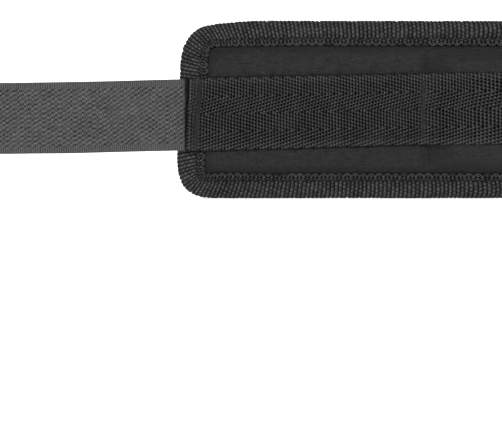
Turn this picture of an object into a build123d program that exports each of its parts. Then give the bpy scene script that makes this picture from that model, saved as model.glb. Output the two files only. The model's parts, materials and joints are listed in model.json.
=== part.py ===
from build123d import *
from math import cos, radians, sin
import os

# Ankle cuff weight: a padded neoprene cuff with shot pouches, closed by a hook strap. Millimetres.
#
# The cuff stands on its lower long edge, as it does round an ankle: +Z is up, the outer face looks
# towards -Y, the strap leaves towards -X, and the weighted end curls round towards +Y. The origin is
# on the ground, at the centre of the plan box.
#
# The cuff and its strap are a chain of sections that fold on upright lines. On every section s runs
# along the cuff from its strap end, d is the depth outward from the lining, and h is the height from
# the cuff's mid-line.

# ---- Driving dimensions ----
HEIGHT = 75.0               # long edge to long edge
CORNER_RADIUS = 17.0
FOLD_GAP = 0.4              # each section stops this short of its fold line
FOLD_DEPTH = -1.3           # the cuff's fold lines lie just inside the lining

FLAP_LENGTHS = [34.6, 34.7, 34.7]                # padded flap that carries the strap
POCKET_LENGTHS = [34.0, 34.0, 34.0, 34.0, 50.0]  # weighted stretch, one shot pouch each
POCKET_BEND = 36.0          # curl at rest between one pocket and the next

LINING = 3.0                # smooth neoprene on the skin side
PANEL = 3.0                 # outer neoprene
FOAM = 2.0                  # foam core of the flap
POUCH_ROOM = 9.0            # space for a shot pouch
POUCH_WALL = 0.8
POUCH_CLEARANCE = 0.2
FLAP_RISE = 16.0            # the flap's padding starts this far from the strap end
POCKET_FALL = 16.0          # and the last pocket stops this far from the other end

TAPE = 1.2                  # binding tape, folded round the cuff's edge
BINDING_WIDTH = 10.0        # how far the binding reaches in from the edge

STRAP_WIDTH = 30.0          # hook strap, webbing and loop pad
STRAP_THICKNESS = 1.2
STRAP_DEPTH = 8.0           # inner face of the hook strap
STRAP_FOLD_S = -0.5         # first fold of the strap, just off the cuff's end
STRAP_LENGTHS = [36.8, 46.2, 50.4, 34.0]
STRAP_BENDS = [0.0, 0.0, 10.0, 14.0]             # curl at rest before each strap section
STRAP_TIP_RADIUS = 6.0
SEWN_END = 103.2            # where the sewn-down end of the strap stops

WEBBING = 1.5
WEBBING_START = 4.0
WEBBING_END_MARGIN = 4.0
LOOP_PAD = 1.8
LOOP_PAD_END = 270.0

STITCH = 0.5                # thickness of the box seam's thread
STITCH_LENGTH = 3.4
STITCH_PITCH = 4.4
SEAM_START = 10.3
SEAM_END = 102.4
SEAM_HALF_HEIGHT = 12.2

# ---- Depths that follow from them ----
EDGE_TOP = LINING + PANEL                        # outer face of the panel at the cuff's edge
FLAP_TOP = LINING + FOAM + PANEL
POCKET_TOP = LINING + POUCH_ROOM + PANEL
FLAP_WEBBING = STRAP_DEPTH + STRAP_THICKNESS + 0.2
POCKET_WEBBING = POCKET_TOP + 0.1
PAD_BASE = POCKET_WEBBING + WEBBING + 0.1
FLAP_END = sum(FLAP_LENGTHS)
CUFF_END = FLAP_END + sum(POCKET_LENGTHS)


class Section:
    """One stretch of the chain: where it stands in plan, its heading, and the s that it covers."""

    def __init__(self, name, fold, heading, start, end, fold_s, fold_d):
        self.name = name
        self.start, self.end = start, end
        self.is_first, self.is_last = abs(start) < 0.01, abs(end - CUFF_END) < 0.01
        self.climbs = abs(start - FLAP_END) < 0.01
        self.along = Vector(cos(radians(heading)), sin(radians(heading)), 0)
        self.outward = Vector(sin(radians(heading)), -cos(radians(heading)), 0)
        self.zero = fold - self.along * fold_s - self.outward * fold_d

    def at(self, s, d):
        """Plan position of a point of the section, at mid-height."""
        return self.zero + self.along * s + self.outward * d

    def face(self, d):
        """Plane of constant depth, looking outward: x is s and y is h."""
        return Plane(origin=self.at(0, d), x_dir=self.along, z_dir=self.outward)

    def profile(self):
        """Level plane at mid-height: x is s and y is d."""
        return Plane(origin=self.zero, x_dir=self.along, z_dir=(0, 0, -1))


def chain(origin):
    """Lays out the flap, pocket and strap sections with the flap's last fold line at origin."""
    flaps, pockets, straps = [], [], []

    fold, s = origin, FLAP_END
    for index in (3, 2, 1):
        length = FLAP_LENGTHS[index - 1]
        flaps.insert(0, Section(f"{index}", fold, 0, s - length, s, s, FOLD_DEPTH))
        fold, s = fold - Vector(length, 0, 0), s - length

    fold, s, heading = origin, FLAP_END, 0.0
    for index, length in enumerate(POCKET_LENGTHS, start=4):
        pocket = Section(f"{index}", fold, heading, s, s + length, s, FOLD_DEPTH)
        pockets.append(pocket)
        fold, s, heading = pocket.at(s + length, FOLD_DEPTH), s + length, heading + POCKET_BEND

    middle = STRAP_DEPTH + STRAP_THICKNESS / 2
    fold, s, heading = flaps[0].at(STRAP_FOLD_S, middle), STRAP_FOLD_S, 0.0
    for index, length in enumerate(STRAP_LENGTHS, start=1):
        heading -= STRAP_BENDS[index - 1]
        strap = Section(f"{index}", fold, heading, s - length, s, s, middle)
        straps.append(strap)
        fold, s = strap.at(s - length, middle), s - length

    return flaps, pockets, straps


def plan_centre(flaps, pockets, straps):
    """Centre of the chain's plan box when its last flap fold is at the origin."""
    corners = [straps[-1].at(straps[-1].start, d) for d in (STRAP_DEPTH, STRAP_DEPTH + STRAP_THICKNESS)]
    for pocket in pockets:
        top = PAD_BASE + LOOP_PAD if pocket in pockets[2:] else POCKET_WEBBING + WEBBING
        corners += [pocket.at(s, top) for s in (pocket.start, min(pocket.end, LOOP_PAD_END))]
        corners += [pocket.at(s, -TAPE) for s in (pocket.start, pocket.end)]
        corners.append(pocket.at(pocket.end, EDGE_TOP + TAPE))
    xs, ys = [c.X for c in corners], [c.Y for c in corners]
    return Vector((min(xs) + max(xs)) / 2, (min(ys) + max(ys)) / 2, 0)


def outline(section, depth, inset):
    """The section's stretch of the cuff's outline, drawn in from the cuff's edge by inset."""
    half = HEIGHT / 2 - inset
    left, right = section.start + FOLD_GAP, section.end - FOLD_GAP
    with BuildSketch(section.face(depth)) as face:
        if section.is_first or section.is_last:
            rounded, cut = (inset, right) if section.is_first else (CUFF_END - inset, left)
            with BuildLine():
                FilletPolyline(
                    (cut, half), (rounded, half), (rounded, -half), (cut, -half),
                    radius=CORNER_RADIUS - inset,
                )
                Line((cut, -half), (cut, half))
            make_face()
        else:
            with Locations(((left + right) / 2, 0)):
                Rectangle(right - left, 2 * half)
    return face.sketch


def patch(section, depth, left, right, half):
    """A plain rectangle on the section from s = left to s = right, half to each side of the mid-line."""
    with BuildSketch(section.face(depth)) as face:
        with Locations(((left + right) / 2, 0)):
            Rectangle(right - left, 2 * half)
    return face.sketch


def mound(section, foot, crown, inset=0.0):
    """Foot and crown rectangles of a flat-topped mound, each (depth, left, right, half height)."""
    (d0, left0, right0, half0), (d1, left1, right1, half1) = foot, crown
    return [
        patch(section, d0 + inset, left0 + inset, right0 - inset, half0 - inset),
        patch(section, d1 - inset, left1 + inset, right1 - inset, half1 - inset),
    ]


def flap_core(section):
    """Space between panel and lining on a flap section, which the foam fills."""
    left, right = section.start + FOLD_GAP, section.end - FOLD_GAP
    foot_left, crown_left = (FLAP_RISE + 1.0, FLAP_RISE + 4.0) if section.is_first else (left, left)
    return (LINING, foot_left, right, 26.5), (LINING + FOAM, crown_left, right, 23.5)


def pocket_core(section):
    """Space between panel and lining on a pocket section, which the shot pouch lies in."""
    left, right = section.start + FOLD_GAP + TAPE, section.end - FOLD_GAP - TAPE
    crown_left, crown_right = left, right
    if section.climbs:
        crown_left = left + 7.6
    if section.is_last:
        right, crown_right = CUFF_END - POCKET_FALL - 2.0, CUFF_END - POCKET_FALL - 6.0
    return (LINING, left, right, 25.0), (LINING + POUCH_ROOM, crown_left, crown_right, 19.5)


def make_lining(section):
    with BuildPart() as lining:
        extrude(outline(section, 0, TAPE), amount=LINING)
    return lining.part


def make_flap_panel(section):
    left, right = section.start + FOLD_GAP, section.end - FOLD_GAP
    foot_left, crown_left = (FLAP_RISE, FLAP_RISE + 2.0) if section.is_first else (left, left)
    with BuildPart() as panel:
        extrude(outline(section, LINING, TAPE), amount=PANEL)
        loft(mound(section, (EDGE_TOP, foot_left, right, 27.4), (FLAP_TOP, crown_left, right, 24.5)))
        loft(mound(section, *flap_core(section)), mode=Mode.SUBTRACT)
    return panel.part


def make_pocket_panel(section):
    left, right = section.start + FOLD_GAP, section.end - FOLD_GAP
    crown_left, crown_right = left, right
    if section.climbs:
        crown_left = FLAP_END + 8.0
    if section.is_last:
        right, crown_right = CUFF_END - POCKET_FALL, CUFF_END - POCKET_FALL - 4.0
    with BuildPart() as panel:
        extrude(outline(section, LINING, TAPE), amount=PANEL)
        loft(mound(section, (EDGE_TOP, left, right, 27.4), (POCKET_TOP, crown_left, crown_right, 22.0)))
        loft(mound(section, *pocket_core(section)), mode=Mode.SUBTRACT)
    return panel.part


def make_foam(section):
    with BuildPart() as foam:
        loft(mound(section, *flap_core(section)))
    return foam.part


def make_pouch(section):
    with BuildPart() as pouch:
        loft(mound(section, *pocket_core(section), inset=POUCH_CLEARANCE))
        loft(mound(section, *pocket_core(section), inset=POUCH_CLEARANCE + POUCH_WALL), mode=Mode.SUBTRACT)
    return pouch.part


def make_shot(section):
    with BuildPart() as shot:
        loft(mound(section, *pocket_core(section), inset=POUCH_CLEARANCE + POUCH_WALL))
    return shot.part


def make_binding(section):
    """U-shaped tape round the edge: it hugs the lining and the panel, and its rim is rounded."""
    with BuildPart() as binding:
        extrude(outline(section, -TAPE, 0), amount=EDGE_TOP + 2 * TAPE)
        extrude(outline(section, -TAPE, BINDING_WIDTH), amount=EDGE_TOP + 2 * TAPE, mode=Mode.SUBTRACT)
        extrude(outline(section, 0, TAPE), amount=EDGE_TOP, mode=Mode.SUBTRACT)
    return binding.part


def make_strip(section, points, half, thickness):
    """A tape of the given half width whose inner face follows points (s, d) and lies square to h."""
    with BuildPart() as strip:
        with BuildSketch(section.profile()):
            with BuildLine():
                inner = Polyline(*points)
                outer = offset(inner, amount=thickness, side=Side.LEFT, closed=True, mode=Mode.ADD)
            make_face()
        extrude(amount=half, both=True)
    return strip.part


def webbing_path(section):
    """Inner face of the webbing on a section: flat on the flap, up onto the pockets, down at the end."""
    left, right = section.start + FOLD_GAP, section.end - FOLD_GAP
    if section.is_first:
        return [(WEBBING_START, FLAP_WEBBING), (right, FLAP_WEBBING)]
    if section.end <= FLAP_END:
        return [(left, FLAP_WEBBING), (right, FLAP_WEBBING)]
    if section.climbs:
        foot, top = (left + 1.6, FLAP_WEBBING), (FLAP_END + 6.4, POCKET_WEBBING)
        return [(left, FLAP_WEBBING), foot, top, (right, POCKET_WEBBING)]
    if section.is_last:
        end = CUFF_END - WEBBING_END_MARGIN
        low = EDGE_TOP + TAPE + 0.2
        return [(left, POCKET_WEBBING), (CUFF_END - 16.5, POCKET_WEBBING), (CUFF_END - 9.5, low), (end, low)]
    return [(left, POCKET_WEBBING), (right, POCKET_WEBBING)]


def make_webbing(section):
    return make_strip(section, webbing_path(section), STRAP_WIDTH / 2, WEBBING)


def make_sewn_strap(section):
    left = STRAP_FOLD_S + FOLD_GAP if section.is_first else section.start + FOLD_GAP
    right = min(section.end - FOLD_GAP, SEWN_END)
    path = [(left, STRAP_DEPTH), (right, STRAP_DEPTH)]
    return make_strip(section, path, STRAP_WIDTH / 2, STRAP_THICKNESS)


def make_loop_pad(section):
    path = [(section.start + FOLD_GAP, PAD_BASE), (min(section.end - FOLD_GAP, LOOP_PAD_END), PAD_BASE)]
    return make_strip(section, path, STRAP_WIDTH / 2, LOOP_PAD)


def make_free_strap(section, is_tip):
    with BuildPart() as strap:
        extrude(
            patch(section, STRAP_DEPTH, section.start + FOLD_GAP, section.end - FOLD_GAP, STRAP_WIDTH / 2),
            amount=STRAP_THICKNESS,
        )
        if is_tip:
            tip = strap.edges().filter_by(lambda edge: abs(edge.length - STRAP_THICKNESS) < 0.01)
            fillet(tip.sort_by(Axis.X)[:2], radius=STRAP_TIP_RADIUS)
    return strap.part


def make_box_seam(section):
    """Thread of the box seam that shows on the lining: two long rows and one across the end."""
    count = int((SEAM_END - SEAM_START) / STITCH_PITCH)
    starts = [SEAM_START + STITCH_PITCH * i for i in range(count)]
    inside = [s for s in starts if section.start + FOLD_GAP < s and s + STITCH_LENGTH < section.end - FOLD_GAP]
    rows = [(s + STITCH_LENGTH / 2, h) for s in inside for h in (SEAM_HALF_HEIGHT, -SEAM_HALF_HEIGHT)]
    with BuildPart() as seam:
        with BuildSketch(section.face(-STITCH)):
            with Locations(*rows):
                Rectangle(STITCH_LENGTH, 2 * STITCH)
            if section.end == FLAP_END:
                with Locations((SEAM_END, 0)):
                    with GridLocations(0, STITCH_PITCH, 1, 5):
                        Rectangle(2 * STITCH, STITCH_LENGTH)
        extrude(amount=STITCH)
    return seam.part


def write(piece, name):
    piece.label = name
    export_step(piece, f"parts/{name}.step")


os.makedirs("parts", exist_ok=True)

start = chain(Vector(0, 0, HEIGHT / 2))
flap_sections, pocket_sections, strap_sections = chain(Vector(0, 0, HEIGHT / 2) - plan_centre(*start))

for section in flap_sections:
    write(make_flap_panel(section), f"outer_panel_{section.name}")
    write(make_foam(section), f"foam_core_{section.name}")
    write(make_sewn_strap(section), f"sewn_strap_{section.name}")
    write(make_box_seam(section), f"box_seam_{section.name}")

for section in pocket_sections:
    write(make_pocket_panel(section), f"outer_panel_{section.name}")
    write(make_pouch(section), f"shot_pouch_{section.name}")
    write(make_shot(section), f"shot_fill_{section.name}")

for section in pocket_sections[2:]:
    write(make_loop_pad(section), f"loop_pad_{section.name}")

for section in flap_sections + pocket_sections:
    write(make_lining(section), f"lining_{section.name}")
    write(make_binding(section), f"binding_{section.name}")
    write(make_webbing(section), f"webbing_{section.name}")

for section in strap_sections:
    write(make_free_strap(section, section is strap_sections[-1]), f"free_strap_{section.name}")

for section in flap_sections + pocket_sections:
    fold = section.at(section.end if section in flap_sections else section.start, FOLD_DEPTH)
    print(f"fold line of section {section.name}: {fold.X:.3f}, {fold.Y:.3f}")
for section in strap_sections:
    fold = section.at(section.end, STRAP_DEPTH + STRAP_THICKNESS / 2)
    print(f"fold line of strap {section.name}: {fold.X:.3f}, {fold.Y:.3f}")
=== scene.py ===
import json
import math

import bpy
import numpy as np
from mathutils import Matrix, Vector


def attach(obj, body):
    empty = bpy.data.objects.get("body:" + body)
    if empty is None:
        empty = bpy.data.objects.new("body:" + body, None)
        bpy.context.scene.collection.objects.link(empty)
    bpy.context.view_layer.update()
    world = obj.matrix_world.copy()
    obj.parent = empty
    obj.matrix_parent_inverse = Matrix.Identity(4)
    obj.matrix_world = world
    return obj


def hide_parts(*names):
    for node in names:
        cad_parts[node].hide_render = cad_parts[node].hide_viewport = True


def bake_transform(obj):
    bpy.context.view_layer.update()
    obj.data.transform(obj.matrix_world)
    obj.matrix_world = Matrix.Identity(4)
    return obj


# Looks of the ankle cuff weight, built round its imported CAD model.
#
# Lengths in this script are millimetres until place() and place_strap() turn them into metres.
# s runs along the cuff from its strap end, d is the depth outward from the lining, and h is the
# height from the cuff's mid-line. On the free strap s is negative.

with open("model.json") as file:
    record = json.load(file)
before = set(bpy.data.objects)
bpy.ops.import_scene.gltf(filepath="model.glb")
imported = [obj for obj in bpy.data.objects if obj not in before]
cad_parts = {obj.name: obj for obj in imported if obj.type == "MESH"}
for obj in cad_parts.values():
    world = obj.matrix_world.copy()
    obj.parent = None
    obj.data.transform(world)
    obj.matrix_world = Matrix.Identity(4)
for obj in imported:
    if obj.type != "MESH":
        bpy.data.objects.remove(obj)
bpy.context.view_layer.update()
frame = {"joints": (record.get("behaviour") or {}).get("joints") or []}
rng = np.random.default_rng(11)

# ---------------------------------------------------------------- sizes

HALF = 37.5                 # half the cuff's height
CUFF_END = 290.0            # the cuff's length
FOLD_DEPTH = -1.3           # of the cuff's hinge axes
FOLD_S = [34.6, 69.3, 104.0, 138.0, 172.0, 206.0, 240.0]
FLAP_END = 104.0            # where the shot pouches start
PANEL_INSET = 1.25          # the panels' cut edges, inside the binding
PANEL_HELD = 8.6            # how far in from the edge the binding holds them
# Reach of the rounded corners, and how square they are, as upper and lower at the strap end, then
# upper and lower at the far end.
CORNERS = {(0, 1): (25.0, 3.0), (0, -1): (20.0, 3.3), (1, 1): (24.0, 3.1), (1, -1): (24.0, 3.1)}

STRAP_HALF = 14.95          # half the hook strap's width
STRAP_FOLD_S = -0.5         # its first fold
STRAP_LENGTHS = [36.8, 46.2, 50.4, 34.0]
STRAP_MIDDLE = 8.6          # depth of its middle
STRAP_FREE = 17.3           # where its free part's piece starts

RIB_PITCH = 1.72            # knitted ribs of the edge binding
STITCH = 4.4                # length of the box seam's stitches
# Back-tacks over the box seam's end: from and to in height from the strap's middle, and how far the
# thread wanders off the seam between them.
TACKS = [(-11.4, 11.4, 0.0), (-1.0, 11.2, 1.8), (0.6, 9.6, 0.9), (-9.5, 3.6, 0.5), (-8.0, 8.4, -0.5)]
FIRST_STITCH = 12.6         # middle of its first stitch
GROOVE = 7.5                # the binding's stitch groove, in from the edge
SEAM_START, SEAM_END, SEAM_HALF = 8.4, 101.9, 11.4      # the box seam's ends and half its height
PAD_START, PAD_END = 172.6, 270.0                       # the loop pad

# ---------------------------------------------------------------- the cuff's line in plan

joints = {j["name"]: np.array(j["pos_m"][:2]) * 1000 for j in frame["joints"]}


def unit(v):
    return v / np.linalg.norm(v)


def turned(v, degrees):
    c, s = math.cos(math.radians(degrees)), math.sin(math.radians(degrees))
    return np.array([c * v[0] - s * v[1], s * v[0] + c * v[1]])


class Line:
    """A chain of straight lengths in plan, smoothed from the middle of each length to the next."""

    def __init__(self, corners, stations):
        self.corners, self.stations = np.array(corners), np.array(stations, float)
        self.mid_s = (self.stations[:-1] + self.stations[1:]) / 2
        self.mids = (self.corners[:-1] + self.corners[1:]) / 2

    def at(self, s):
        """Points on the line and the unit directions along it."""
        s = np.asarray(s, float)
        last = len(self.mid_s) - 1
        k = np.clip(np.searchsorted(self.mid_s, s) - 1, 0, last - 1)
        t = (s - self.mid_s[k]) / (self.mid_s[k + 1] - self.mid_s[k])
        inside = np.clip(t, 0, 1)[..., None]
        a, b, c = self.mids[k], self.corners[k + 1], self.mids[k + 1]
        point = (1 - inside) ** 2 * a + 2 * inside * (1 - inside) * b + inside**2 * c
        along = (1 - inside) * (b - a) + inside * (c - b)
        along = along / np.linalg.norm(along, axis=-1, keepdims=True)
        spare = np.where(t < 0, s - self.mid_s[0], np.where(t > 1, s - self.mid_s[-1], 0))
        return point + along * spare[..., None], along


folds = [joints[f"flap_fold_{n}"] for n in (1, 2, 3)] + [joints[f"pocket_fold_{n}"] for n in (1, 2, 3, 4)]
cuff_start = folds[0] - FOLD_S[0] * unit(folds[1] - folds[0])
cuff_finish = folds[-1] + (CUFF_END - FOLD_S[-1]) * turned(unit(folds[-1] - folds[-2]), 36)
cuff_line = Line([cuff_start, *folds, cuff_finish], [0, *FOLD_S, CUFF_END])

strap_folds = [joints[f"strap_fold_{n}"] for n in (1, 2, 3, 4)]
strap_tip = strap_folds[3] + STRAP_LENGTHS[3] * turned(unit(strap_folds[3] - strap_folds[2]), -14)
strap_s = STRAP_FOLD_S - np.concatenate([[0], np.cumsum(STRAP_LENGTHS)])
strap_root = strap_folds[0] + np.array([40.0, 0.0])
strap_line = Line([strap_tip, *strap_folds[::-1], strap_root], [*strap_s[::-1], STRAP_FOLD_S + 40.0])


def smooth(a, b, x):
    """0 at a, 1 at b, and an even curve between them."""
    t = np.clip((x - a) / (b - a), 0, 1)
    return t * t * (3 - 2 * t)


def lengths_along(points):
    """Distance along a chain of points, at each of them."""
    return np.concatenate([[0], np.cumsum(np.linalg.norm(np.diff(points, axis=0), axis=1))])


def hump(x, width):
    """A rounded bump, 1 high at x = 0."""
    return np.exp(-((x / width) ** 2))


def lay(line, line_depth, s, d, h):
    """Points, in metres, of places laid along a line."""
    s, d, h = np.broadcast_arrays(*(np.asarray(v, float) for v in (s, d, h)))
    point, along = line.at(s.ravel())
    outward = np.stack([along[:, 1], -along[:, 0]], axis=1)
    xy = point + outward * (d.ravel()[:, None] - line_depth)
    return np.column_stack([xy, HALF + h.ravel()]) / 1000


def place(s, d, h):
    """Points of places on the cuff. Its strap end is a little out of true."""
    s, h = np.asarray(s, float), np.asarray(h, float)
    lean_out = 1.15 * smooth(16, -18, h) * smooth(60, 0, s)
    sag = 0.75 * hump(s - 17, 9.0) * smooth(18, 34, h)
    return lay(cuff_line, FOLD_DEPTH, s - lean_out, d, h - sag)


def place_strap(s, d, h):
    """The same for the hook strap, which leaves the cuff at the strap's first fold."""
    return lay(strap_line, STRAP_MIDDLE, s, d, h)


def strap_h(s):
    """The strap and webbing are sewn on a little low at the strap end and run up past the mid-line."""
    s = np.asarray(s, float)
    rise = np.interp(s, [-70, -45, 100, 130], [0.0, 0.35, 3.85, 4.2])
    return -3.7 + rise - 0.5 * smooth(135, 190, s)


# ---------------------------------------------------------------- mesh helpers


def new_mesh(name, points, quads, material, slot, relief=None, round_faces=None, triangles=None):
    """An object from points in metres, quads and any triangles. Faces after round_faces are flat."""
    quads = np.asarray(quads)
    triangles = np.zeros((0, 3), int) if triangles is None else triangles
    loops = np.concatenate([quads.ravel(), triangles.ravel()]).astype(np.int32)
    starts = np.concatenate([np.arange(len(quads)) * 4, quads.size + np.arange(len(triangles)) * 3])
    mesh = bpy.data.meshes.new(name)
    mesh.vertices.add(len(points))
    mesh.vertices.foreach_set("co", np.asarray(points, np.float32).ravel())
    mesh.loops.add(len(loops))
    mesh.loops.foreach_set("vertex_index", loops)
    mesh.polygons.add(len(starts))
    mesh.polygons.foreach_set("loop_start", starts.astype(np.int32))
    mesh.polygons.foreach_set("use_smooth", np.arange(len(starts)) < (round_faces or len(quads)))
    if relief is not None:
        layer = mesh.attributes.new("relief", "FLOAT", "POINT")
        layer.data.foreach_set("value", np.asarray(relief, np.float32).ravel())
    mesh.update(calc_edges=True)
    mesh.validate()
    mesh.materials.append(material)
    obj = link(bpy.data.objects.new(name, mesh))
    return obj


def link(obj):
    bpy.context.scene.collection.objects.link(obj)
    return obj


def grid_faces(rows, columns, start=0, wrap=False, flip=False):
    """Quads over a grid of points stored row by row. wrap joins each row's last point to its first."""
    r = np.arange(rows - 1)[:, None] * columns
    c = np.arange(columns if wrap else columns - 1)[None, :]
    n = (c + 1) % columns
    quads = np.stack([r + c, r + n, r + columns + n, r + columns + c], axis=-1).reshape(-1, 4)
    return (quads[:, ::-1] if flip else quads) + start


def gathered(parts):
    """One set of points and faces from a list of them."""
    starts = np.cumsum([0] + [len(points) for points, _ in parts[:-1]])
    faces = [faces + start for (_, faces), start in zip(parts, starts)]
    return np.concatenate([points for points, _ in parts]), np.concatenate(faces)


def slab_faces(rows, columns):
    """Quads of a closed slab, an outer and an inner grid, and how many lie on those two faces."""
    count = rows * columns
    index = np.arange(count).reshape(rows, columns)
    rim = np.concatenate([index[0, :], index[1:, -1], index[-1, -2::-1], index[-2:0:-1, 0]])
    nxt = np.roll(rim, -1)
    side = np.stack([rim, rim + count, nxt + count, nxt], axis=1)
    grids = [grid_faces(rows, columns), grid_faces(rows, columns, start=count, flip=True)]
    return np.concatenate([*grids, side]), 2 * (rows - 1) * (columns - 1)


RIMS = {}           # the points at the near and far end of each piece that is cut
NORMALS = {}        # the normals set on them


def slab(name, s, h, outer, inner, material, slot, placing=place, outer_relief=1.0, inner_relief=1.0):
    """A closed sheet over the grid s, h (rows along s) with the given outer and inner depths."""
    rows, columns = s.shape
    near, count = np.arange(columns), rows * columns
    far = near + (rows - 1) * columns
    RIMS[name] = (np.concatenate([near, near + count]), np.concatenate([far, far + count]))
    points = np.concatenate([placing(s, depth, h) for depth in (outer, inner)])
    relief = np.concatenate([np.broadcast_to(r, s.shape).ravel() for r in (outer_relief, inner_relief)])
    quads, round_faces = slab_faces(rows, columns)
    return new_mesh(name, points, quads[:, ::-1], material, slot, relief, round_faces)


def unit_rows(v):
    return v / np.maximum(np.linalg.norm(v, axis=1, keepdims=True), 1e-9)


def read(items, key, kind, width=1):
    """A flat array of one property of a mesh's vertices, loops or faces."""
    out = np.zeros(len(items) * width, kind)
    items.foreach_get(key, out)
    return out


def match_normals(low, high):
    """Shades two neighbouring pieces alike where they meet, at low's far rim and high's near rim."""
    found, ends = [], ((low, RIMS[low][1]), (high, RIMS[high][0]))
    for name, rim in ends:
        mesh = bpy.data.objects[name].data
        corner = read(mesh.loops, "vertex_index", np.int32)
        normal = read(mesh.corner_normals, "vector", np.float32, 3).reshape(-1, 3)
        corners = read(mesh.polygons, "loop_total", np.int32)
        use = np.repeat(read(mesh.polygons, "use_smooth", bool), corners)
        total = np.zeros((len(mesh.vertices), 3))
        np.add.at(total, corner[use], normal[use])
        found.append(unit_rows(total[rim]))
    for name, rim in ends:
        count = len(bpy.data.objects[name].data.vertices)
        NORMALS.setdefault(name, np.zeros((count, 3)))[rim] = unit_rows(sum(found))


def wander(x, seed, scale, terms=5):
    """A smooth wandering number from -1 to 1 along x, the same on every run."""
    x, local = np.asarray(x, float), np.random.default_rng(seed)
    total = np.zeros_like(x)
    for _ in range(terms):
        total += np.sin(x / scale * local.uniform(0.6, 2.4) + local.uniform(0, 6.28))
    return total / terms


# ---------------------------------------------------------------- materials


class Nodes:
    """Short names for building a material's node tree."""

    def __init__(self, name, roughness, sheen=0.0, specular=0.4):
        self.material = bpy.data.materials.new(name)
        self.material.use_nodes = True
        self.tree = self.material.node_tree
        self.shader = self.tree.nodes["Principled BSDF"]
        self.set(self.shader, {"Roughness": roughness, "Specular IOR Level": specular, "Sheen Weight": sheen})
        self.position = self.add("ShaderNodeTexCoord").outputs["Object"]

    def add(self, kind, inputs=None, **settings):
        node = self.tree.nodes.new(kind)
        for key, value in settings.items():
            setattr(node, key, value)
        self.set(node, inputs or {})
        return node

    def set(self, node, inputs):
        """Gives each input its value, or links it to the output given."""
        for key, value in inputs.items():
            if isinstance(value, bpy.types.NodeSocket):
                self.tree.links.new(value, node.inputs[key])
            else:
                node.inputs[key].default_value = value

    def stretched(self, *scale):
        """Object coordinates, in metres, scaled differently along each axis."""
        return self.add("ShaderNodeMapping", {"Vector": self.position, "Scale": scale}).outputs["Vector"]

    def noise(self, scale, detail=2.0, roughness=0.5, vector=None):
        vector = self.position if vector is None else vector
        inputs = {"Vector": vector, "Scale": scale, "Detail": detail, "Roughness": roughness}
        return self.add("ShaderNodeTexNoise", inputs).outputs["Fac"]

    def relief(self):
        return self.add("ShaderNodeAttribute", attribute_name="relief").outputs["Fac"]

    def math(self, operation, *values):
        return self.add("ShaderNodeMath", dict(enumerate(values)), operation=operation).outputs[0]

    def ramp(self, factor, *stops):
        """Colour ramp; each stop is a place and a grey, or a place and a colour."""
        node = self.add("ShaderNodeValToRGB", {"Fac": factor})
        for element, (at, colour) in zip(node.color_ramp.elements, stops):
            element.position = at
            element.color = (*(colour if isinstance(colour, tuple) else (colour,) * 3), 1)
        return node.outputs["Color"]

    def mix(self, factor, a, b):
        """a, or the grey b where factor is 1."""
        inputs = {"Factor": factor, "A": a, "B": (b, b, b, 1)}
        return self.add("ShaderNodeMix", inputs, data_type="RGBA").outputs["Result"]

    def finish(self, colour, height=None, strength=0.0, distance=0.0):
        """The material, with its colour and bumps."""
        self.set(self.shader, {"Base Color": colour})
        if height is not None:
            bump = self.add("ShaderNodeBump", {"Strength": strength, "Distance": distance, "Height": height})
            self.set(self.shader, {"Normal": bump.outputs["Normal"]})
        return self.material


def grey(value):
    """Linear reflectance of an sRGB grey level from 0 to 255."""
    v = value / 255
    return v / 12.92 if v <= 0.04045 else ((v + 0.055) / 1.055) ** 2.4


def neoprene(name, level, knit):
    """Knit-faced neoprene: fine dashes of knit along the cuff, faint mottling, a few lint specks, and painted
    shade where the relief attribute is below 1.
    """
    n = Nodes(name, 0.85, sheen=0.03, specular=0.12)
    dashes = n.noise(1.0, 1.0, 0.4, n.stretched(1300.0 / knit, 1300.0 / knit, 2700.0 / knit))
    streaks = n.noise(1.0, 1.0, 0.4, n.stretched(260.0, 260.0, 1700.0))
    height = n.add("ShaderNodeSeparateXYZ", {0: n.position}).outputs["Z"]
    courses = n.math("SINE", n.math("MULTIPLY_ADD", height, 8000.0, n.math("MULTIPLY", streaks, 7.0)))
    tone = 0.1
    for part, share in ((dashes, 0.6), (streaks, 0.22), (courses, 0.045), (n.noise(90.0, 3.0), 0.04)):
        tone = n.math("MULTIPLY_ADD", part, share, tone)
    base = n.ramp(tone, (0.34, grey(level * 0.62)), (0.72, grey(level * 1.38)))
    lint = n.ramp(n.noise(420.0, 1.0), (0.775, 0.0), (0.81, 1.0))
    base = n.mix(n.math("MULTIPLY", lint, 0.25), base, 0.12)
    # painted shade: the knit is mixed towards near black where the relief attribute falls below 1
    painted_shade = n.math("SUBTRACT", 1.0, n.relief())
    bumps = n.math("ADD", n.math("MULTIPLY", dashes, 0.6), n.math("MULTIPLY", streaks, 0.4))
    return n.finish(n.mix(painted_shade, base, 0.004), bumps, 0.35, 0.0002)


def yarn(name, low, high, sheen=0.04, roughness=0.75, scale=3000.0, specular=0.14):
    """Woven or knitted yarn: its grey runs from low in the pits of the relief to high on its crowns, painted
    shade in the pits and painted highlight on the crowns.
    """
    n = Nodes(name, roughness, sheen=sheen, specular=specular)
    fibre, cloud = n.noise(scale, 2.0, 0.6), n.noise(140.0, 3.0)
    tone = n.math("MULTIPLY", n.relief(), 0.8)
    for part, share in ((fibre, 0.5), (cloud, 0.12)):
        tone = n.math("ADD", tone, n.math("MULTIPLY", n.math("SUBTRACT", part, 0.5), share))
    return n.finish(n.ramp(tone, (0.02, grey(low)), (0.85, grey(high))), fibre, 0.5, 0.00012)


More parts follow.
